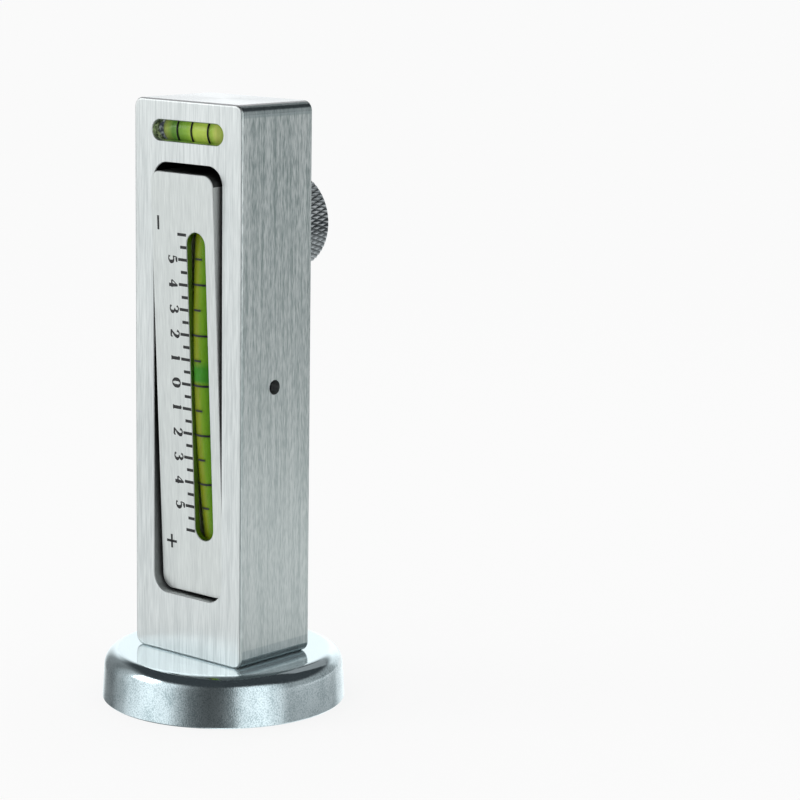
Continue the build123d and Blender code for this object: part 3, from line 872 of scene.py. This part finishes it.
# %% Adjusting screw: cut to length and put in place
thread.data.transform(Matrix.Translation((0, 0, -turns * SCREW_PITCH / 2)))
on_all(thread, bpy.ops.mesh.remove_doubles, threshold=MERGE)
cut_ends(thread, -screw_length / 2, screw_length / 2)
screw_middle = Vector((screw_axis.x, (screw_low.y + screw_high.y) / 2, screw_axis.z))
place(thread, Matrix.Translation(screw_middle) @ Z_TO_BACK)
finish_piece(thread, "threaded_screw", "knob", "bare_steel", steel, "adjusting_screw", smooth=20)

# %% Return spring
SPRING_TURNS, STEPS_A_TURN = 3.5, 32
SPRING_WIRE = 0.5 * MM
spring_low, spring_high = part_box("return_spring")
spring_radius = (spring_high.x - spring_low.x) / 2
spring_length = spring_high.y - spring_low.y

coil = make(bpy.ops.mesh.primitive_circle_add, vertices=14, radius=SPRING_WIRE / 2)
coil.data.transform(STAND_UP)
coil.data.transform(Matrix.Translation((spring_radius - SPRING_WIRE / 2, 0, 0)))
coil_steps = int(SPRING_TURNS * STEPS_A_TURN)
use_modifier(
    coil, "SCREW", angle=2 * pi * SPRING_TURNS, screw_offset=spring_length, iterations=1,
    steps=coil_steps, render_steps=coil_steps,
)
print("coil wound", SPRING_TURNS, "times")

# %% [markdown]
# Grinding the ends flat takes a quarter of the wire's thickness off each end, so the coil is
# stretched again to reach from seat to seat.

# %% Return spring: ends ground flat, then stretched between the two bodies
ground_off = SPRING_WIRE / 4
cut_ends(coil, ground_off, spring_length - ground_off)
spring_z = (spring_low.z + spring_high.z) / 2
stretch = Matrix.Diagonal((1, 1, spring_length / (spring_length - 2 * ground_off), 1))
seat = Matrix.Translation((0, spring_low.y, spring_z))
place(coil, seat @ Z_TO_BACK @ stretch @ Matrix.Translation((0, 0, -ground_off)))
dress(coil, "return_coil", spring_wire, smooth=40)
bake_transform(coil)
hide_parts("return_spring")
print("return_coil spans", round(spring_length / MM, 2), "mm")

# %% [markdown]
# ## Camber vial
#
# The vial is a glass-clear tube bent to a radius of about a third of a metre, full of green
# spirit. A circle spun about the far centre of the bend gives the bent tube. Glass and spirit
# bend the light so much that the spirit seems to fill the tube, and that is how it is modelled:
# a coloured rod almost as thick as the tube, under a thin clear skin that carries the marks.
# The tube nestles in its window, close under the scale face.

# %% Camber vial: sizes
DEGREE = 6.049 * MM
ZERO_MARK = 0.32 * MM
VIAL_LENGTH = 81.9 * MM
TO_WINDOW = Vector((-0.8, -0.8, 0)) * MM
bend_radius = DEGREE / radians(1)
vial_radius = (vial_high.x - vial_low.x) / 2
vial_x = (vial_high.x + vial_low.x) / 2 + TO_WINDOW.x
vial_y = vial_low.y + vial_radius + TO_WINDOW.y
bend_centre = Vector((vial_x, vial_y + bend_radius, 0))
print("vial radius", round(vial_radius / MM, 2), "at x", round(vial_x / MM, 2), "mm")

# %% Camber vial: a bent rod
def along_vial(distance):
    """The turn about the bend's centre that carries the vial's middle up by a distance."""
    turn = Matrix.Rotation(-distance / bend_radius, 4, "X")
    return Matrix.Translation(bend_centre) @ turn @ Matrix.Translation(-bend_centre)


def bent_rod(radius, length):
    """A rod along the vial's bend: a disc at its foot, spun up about the bend's centre."""
    rod = make(
        bpy.ops.mesh.primitive_circle_add,
        vertices=64, radius=radius, fill_type="NGON", location=(vial_x, vial_y, 0),
    )
    place(rod, along_vial(-length / 2))
    spin_solid(rod, 48, length / bend_radius, bend_centre, (1, 0, 0))
    return rod


glass_rod = bent_rod(vial_radius, VIAL_LENGTH)
spirit_rod = bent_rod(vial_radius - 0.25 * MM, VIAL_LENGTH - 4 * MM)
print("rods reach", round(glass_rod.dimensions.z / MM, 1), "mm")

# %% [markdown]
# The clear skin is mostly see-through, by its alpha, and adds the sharp shine of polished
# acrylic. A see-through skin lets the lamps reach the spirit, which a refracting one would not.

# %% Clear acrylic
acrylic, tree, shader = new_material("clear_acrylic", (0.03, 0.07, 0.02), 0.0, 0.04)
waves = noise(tree, (2.0, 2.0, 6.0), detail=1.0)
feed(shader, {"IOR": 1.49, "Alpha": 0.12, "Roughness": spread(waves, 0.03, 0.08)})
print("clear skin:", acrylic.name)

# %% [markdown]
# The spirit's colour is painted in bands across the vial, painted shading of the curved glass:
# dark olive at its left, a painted shade where the eye looks past it into the groove, a browner
# strip, then fresh green. A row of colours gives the painted bands, and a second, softer pattern
# makes them a little uneven. The bubble's place shows as a stretch of deeper green.

# %% Green spirit
def green_spirit(name, start, end, stops):
    """Liquid whose painted colour and shading change along X, from start to end, by stops of (share,
    colour).
    """
    material, tree, shader = new_material(name, stops[1][1], 0.0, 0.25)
    x, y, z = xyz(tree)
    painted_bands = color_row(spread(x, 0, 1, start, end), stops)
    cloud = spread(noise(tree, (1.0, 1.0, 5.0), detail=1.0), 0.0, 0.5)
    color = mix(cloud, painted_bands, (0.70, 0.78, 0.55), blend_type="MULTIPLY")
    feed(shader, {
        "Specular IOR Level": 0.12, "Coat Weight": 0.12, "Coat Roughness": 0.08, "Base Color": color,
    })
    return material, tree, shader, color


VIAL_PAINTED_SHADING = [
    (0.00, (0.12, 0.19, 0.012)), (0.20, (0.23, 0.29, 0.014)), (0.48, (0.31, 0.37, 0.015)),
    (0.62, (0.21, 0.41, 0.015)), (0.84, (0.15, 0.40, 0.018)), (1.00, (0.08, 0.28, 0.016)),
]
BUBBLE_FOOT, BUBBLE_TOP = 0.6 * MM, 5.2 * MM
camber_spirit, tree, shader, color = green_spirit(
    "camber_spirit", vial_x - 4 * MM, vial_x + 4 * MM, VIAL_PAINTED_SHADING
)
x, y, z = xyz(tree)
foot, top = pivot.z + BUBBLE_FOOT, pivot.z + BUBBLE_TOP
in_bubble = both(
    spread(z, 0, 1, foot - 0.5 * MM, foot + 0.5 * MM),
    spread(z, 1, 0, top - 1.2 * MM, top + 1.2 * MM),
)
feed(shader, {"Base Color": mix(in_bubble, color, (0.055, 0.290, 0.018))})
print("the bubble lies", BUBBLE_FOOT / MM, "to", BUBBLE_TOP / MM, "mm above the middle")

# %% Camber vial: into the carrier
for rod, name, slot, material, nodes in (
    (glass_rod, "camber_glass", "clear_acrylic", acrylic, ["camber_vial_tube", "camber_vial_plugs"]),
    (spirit_rod, "camber_liquid", "green_spirit", camber_spirit, ["camber_vial_spirit"]),
):
    place(rod, lean)
    finish_piece(rod, name, "scale_carrier", slot, material, *nodes)

# %% [markdown]
# The vial carries its own marks. Every second degree has a line that runs round the glass, and
# the degrees between have a short one. Each is a small square spun part of the way round the
# vial's axis, then carried along the bend to its degree.

# %% Camber vial: marks
MARK_WIDTH, MARK_DEPTH = 0.50 * MM, 0.05 * MM
LONG_SWEEP, SHORT_SWEEP = 160, 34


def vial_mark(degree, sweep):
    """A line round the front of the vial, sweep degrees long, at a degree of the scale."""
    mark = make(bpy.ops.mesh.primitive_plane_add, size=1, location=(vial_x, vial_y, 0))
    mark.data.transform(Matrix.Diagonal((MARK_DEPTH, 1, MARK_WIDTH, 1)) @ STAND_UP)
    mark.data.transform(Matrix.Translation((vial_radius, 0, 0)))
    mark.data.transform(Matrix.Rotation(radians(-90 - sweep / 2), 4, "Z"))
    place(mark, NO_MOVE)
    spin_solid(mark, max(6, int(sweep / 5)), -radians(sweep), (vial_x, vial_y, 0), (0, 0, 1))
    place(mark, lean @ along_vial(ZERO_MARK + degree * DEGREE))
    return mark


marks = [vial_mark(degree, SHORT_SWEEP if degree % 2 else LONG_SWEEP) for degree in range(-5, 6)]
vial_lines = join(marks)
finish_piece(vial_lines, "camber_lines", "scale_carrier", "rubber", ink, smooth=40)

# %% [markdown]
# ## Level vial
#
# The small vial lies crosswise behind its window: a solid clear rod with a round-ended cavity
# of spirit, which again seems to fill the rod. Three dark rings are painted round it. A plug
# closes its left end, which shows in the side of the bar as a green, glassy disc.

# %% Level vial: sizes and glass
level_radius = (level_high.z - level_low.z) / 2
level_y = (level_high.y + level_low.y) / 2
level_z = (level_high.z + level_low.z) / 2
Z_TO_RIGHT = Matrix.Rotation(radians(90), 4, "Y")


def crosswise_rod(radius, left, right, bevel, segments):
    """A rod along X behind the level window, with bevelled or rounded ends."""
    rod = make(bpy.ops.mesh.primitive_cylinder_add, vertices=72, radius=radius, depth=right - left)
    bevel_edges(rod, lambda middle: abs(middle.z) > (right - left) / 2 - TINY, bevel, segments, profile=0.5)
    place(rod, Matrix.Translation(((left + right) / 2, level_y, level_z)) @ Z_TO_RIGHT)
    return rod


level_glass = crosswise_rod(level_radius, level_low.x, level_high.x, 0.3 * MM, 2)
finish_piece(level_glass, "level_glass", "housing", "clear_acrylic", acrylic, "level_vial_tube", smooth=40)

# %% [markdown]
# The plug is green at the end that shows in the bar's side. Behind the window it is painted grey
# with painted glints, and glows a little there, a painted glow.

# %% Level vial: the plug that closes it
plug_finish, tree, shader = new_material("green_plug", (0.22, 0.42, 0.07), 0.0, 0.1)
pattern = noise(tree, (1.6, 1.2, 1.2))
green = mix(spread(pattern, 0, 1), (0.035, 0.080, 0.018), (0.22, 0.42, 0.07))
# Painted glints on the inner part, which also glows a little: a painted glow.
painted_plug_glints = spread(noise(tree, 0.8, detail=1.0), 0, 1, 0.42, 0.60)
grey = mix(painted_plug_glints, (0.17, 0.19, 0.25), (0.84, 0.92, 1.0))
x, y, z = xyz(tree)
inner = spread(x, 0, 1, level_low.x + 1.6 * MM, level_low.x + 2.4 * MM)
feed(shader, {
    "Base Color": mix(inner, green, grey),
    "Roughness": spread(pattern, 0.16, 0.06),
    "Emission Color": grey,
    "Emission Strength": spread(inner, 0, 0.16, 0, 1),
})
add_bump(shader, pattern, 0.05)
plug = crosswise_rod(level_radius - 0.15 * MM, level_low.x + 0.05 * MM, cavity_low.x, 1.3 * MM, 5)
finish_piece(plug, "level_plug", "housing", "clear_acrylic", plug_finish, "level_vial_plug")

# %% Level vial: spirit, with a painted glow at its right end
# Painted shading of the rounded cavity: a painted highlight near the left end, painted dark bands, and a
# painted dark arc near the right end.
LEVEL_PAINTED_SHADING = [
    (0.00, (0.30, 0.42, 0.10)), (0.12, (0.80, 0.94, 0.26)), (0.20, (0.42, 0.60, 0.12)),
    (0.27, (0.18, 0.42, 0.07)), (0.50, (0.42, 0.72, 0.09)), (0.60, (0.76, 0.98, 0.16)),
    (0.82, (0.80, 1.00, 0.18)), (0.88, (0.58, 0.86, 0.12)), (0.93, (0.92, 1.00, 0.26)),
    (1.00, (0.80, 1.00, 0.20)),
]
LEVEL_RINGS = [-5.8 * MM, -1.1 * MM, 4.4 * MM]
level_spirit, tree, shader, color = green_spirit("level_spirit", cavity_low.x, cavity_high.x, LEVEL_PAINTED_SHADING)
x, y, z = xyz(tree)
# The spirit glows a little towards its right end, a painted glow.
painted_glow = spread(x, 0, 0.14, LEVEL_RINGS[-1], cavity_high.x - 2 * MM)
feed(shader, {"Emission Color": color, "Emission Strength": painted_glow})
spirit_radius = level_radius - 0.2 * MM
level_liquid = crosswise_rod(spirit_radius, cavity_low.x, cavity_high.x, 0.98 * spirit_radius, 12)
finish_piece(level_liquid, "level_liquid", "housing", "green_spirit", level_spirit, "level_vial_spirit")

# %% Level vial: rings
rings = []
for ring_x in LEVEL_RINGS:
    ring = make(
        bpy.ops.mesh.primitive_torus_add,
        major_radius=level_radius - 0.05 * MM, minor_radius=0.22 * MM, major_segments=64, minor_segments=8,
        location=(ring_x, level_y, level_z), rotation=(0, radians(90), 0),
    )
    place(ring, NO_MOVE)
    rings.append(ring)
level_rings = join(rings)
finish_piece(level_rings, "level_rings", "housing", "rubber", ink)

# %% [markdown]
# ## Printing on the scale
#
# The scale face carries a tick every half degree, and a number at every whole one. All print is
# a hair thicker than the face it lies on, about two hundredths of a millimetre. Ticks are one
# thin bar, repeated by an Array modifier.

# %% Scale: ticks
INK = 0.02 * MM
TICK_WIDTH = 0.72 * MM
TICK_RIGHT = 1.12 * MM
WHOLE_LEFT, HALF_LEFT = -1.80 * MM, -0.98 * MM


def printed_bar(x, z, width, height):
    """A bar of ink on the upright carrier's face, width along X and height along Z."""
    stroke = make(bpy.ops.mesh.primitive_cube_add, size=1, location=(x, scale_face - INK / 2, z))
    stroke.scale = (width, 2 * INK, height)
    place(stroke, NO_MOVE)
    return stroke


def ticks(left, first_degree, count):
    """A column of ticks, one degree apart."""
    tick_z = ZERO_MARK + first_degree * DEGREE
    column = printed_bar((left + TICK_RIGHT) / 2, tick_z, TICK_RIGHT - left, TICK_WIDTH)
    use_modifier(
        column, "ARRAY", count=count, use_relative_offset=False, use_constant_offset=True,
        constant_offset_displace=(0, 0, DEGREE),
    )
    return column


printed = [ticks(WHOLE_LEFT, -6, 13), ticks(HALF_LEFT, -5.5, 12)]
print("ticks:", 13 + 12)

# %% [markdown]
# The numbers are drawn as with a broad pen: each stroke is a curve through a few points, and each
# point has the pen's width there. The curve's round section is flattened to ink. The figures lie
# on their side, their tops towards the vial.

# %% Scale: pen strokes of the figures
# each point is (right, up, pen width), for a figure 10 units tall
FIGURES = {
    "0": [[
        (0, 10, .5), (-2.6, 7.6, 1.5), (-2.9, 5, 1.8), (-2.6, 2.4, 1.5), (0, 0, .5),
        (2.6, 2.4, 1.5), (2.9, 5, 1.8), (2.6, 7.6, 1.5), (0, 10, .5),
    ]],
    "1": [
        [(0, 10, 1.5), (0, 5, 1.6), (0, 0, 1.6)],
        [(-2.2, 8.6, .5), (-1, 9.2, .8), (0, 10, 1)],
        [(-2, 0, .6), (0, 0, .7), (2, 0, .6)],
    ],
    "2": [
        [
            (-2.7, 7.6, 1.3), (-1.6, 9.6, .8), (.4, 10, .7), (2.4, 8.2, 1.7), (1.9, 5.6, 1.5),
            (-.6, 2.6, .9), (-3, .4, .6),
        ],
        [(-3, .3, .9), (0, .3, 1.1), (2.4, .3, 1.0), (3, 1.8, .5)],
    ],
    "3": [
        [(-2.6, 8.2, 1.1), (-1.2, 9.8, .7), (1, 9.8, .8), (2.2, 7.9, 1.6), (1.2, 6, .9), (-.6, 5.4, .5)],
        [(-.6, 5.4, .5), (1.6, 5, .9), (2.8, 2.9, 1.8), (1.5, .5, .9), (-.8, 0, .6), (-2.8, 1.3, 1.2)],
    ],
    "4": [
        [(1.2, 10, 1.0), (1.2, 5, 1.6), (1.2, 0, 1.6)],
        [(1.2, 10, .5), (-1.2, 6.6, .5), (-3.4, 3.2, .6)],
        [(-3.4, 2.9, .9), (0, 2.9, .9), (3.3, 2.9, .8)],
        [(-.4, 0, .5), (1.2, 0, .6), (2.8, 0, .5)],
    ],
    "5": [
        [(-1.6, 9.6, 1.2), (.4, 9.5, 1.3), (2.6, 9.9, .8)],
        [(-1.8, 9.8, .5), (-2.1, 7.6, .5), (-2.3, 5.4, .6)],
        [
            (-2.3, 5.5, .6), (-.2, 6.2, .8), (2.2, 5.0, 1.5), (2.6, 2.9, 1.8), (1.5, .7, 1),
            (-.8, 0, .6), (-2.7, 1.1, 1.2),
        ],
    ],
}
print("figures drawn by pen:", " ".join(FIGURES))

# %% Scale: figures from 5 over 0 to 5
FIGURE_HEIGHT = 2.75 * MM
FIGURE_UNIT = FIGURE_HEIGHT / 10
FIGURE_FOOT = -5.0 * MM
PEN = 1.9
# up of a figure is +X on the carrier, its right is down the scale, and it faces the front
ON_ITS_SIDE = Matrix(((0, 1, 0, 0), (0, 0, -1, 0), (-1, 0, 0, 0), (0, 0, 0, 1)))


def figure(strokes):
    """The pen strokes of one figure, flattened to a thin mesh in the XY plane."""
    curve = bpy.data.curves.new("pen", "CURVE")
    curve.dimensions = "3D"
    curve.bevel_depth = FIGURE_UNIT / 2
    curve.bevel_resolution = 2
    curve.use_fill_caps = True
    curve.resolution_u = 6
    for stroke in strokes:
        spline = curve.splines.new("BEZIER")
        spline.bezier_points.add(len(stroke) - 1)
        for point, (right, up, pen) in zip(spline.bezier_points, stroke):
            point.co = (right * FIGURE_UNIT, up * FIGURE_UNIT, 0)
            point.radius = PEN * pen
            point.handle_left_type = point.handle_right_type = "AUTO"
    drawn = bpy.data.objects.new("figure", curve)
    bpy.context.collection.objects.link(drawn)
    alone(drawn)
    bpy.ops.object.convert(target="MESH")
    drawn = bpy.context.object
    drawn.data.transform(Matrix.Diagonal((1, 1, 2 * INK / (1.8 * FIGURE_UNIT), 1)))
    return drawn


for degree in range(-5, 6):
    number = figure(FIGURES[str(abs(degree))])
    spot = Vector((FIGURE_FOOT, scale_face, ZERO_MARK + degree * DEGREE))
    place(number, Matrix.Translation(spot) @ ON_ITS_SIDE)
    printed.append(number)
print("figures on the scale:", 11)

# %% Scale: signs at the two ends
MINUS_X, MINUS_Z = -8.2 * MM, 38.9 * MM
PLUS_X, PLUS_Z = -7.0 * MM, -39.7 * MM
SIGN_STROKE, SIGN_LENGTH = 0.62 * MM, 3.4 * MM
printed += [
    printed_bar(MINUS_X, MINUS_Z, SIGN_STROKE, SIGN_LENGTH),
    printed_bar(PLUS_X, PLUS_Z, SIGN_STROKE, SIGN_LENGTH),
    printed_bar(PLUS_X, PLUS_Z, SIGN_LENGTH, SIGN_STROKE),
]
scale_print = join(printed)
place(scale_print, lean)
finish_piece(scale_print, "scale_print", "scale_carrier", "rubber", ink, smooth=30)
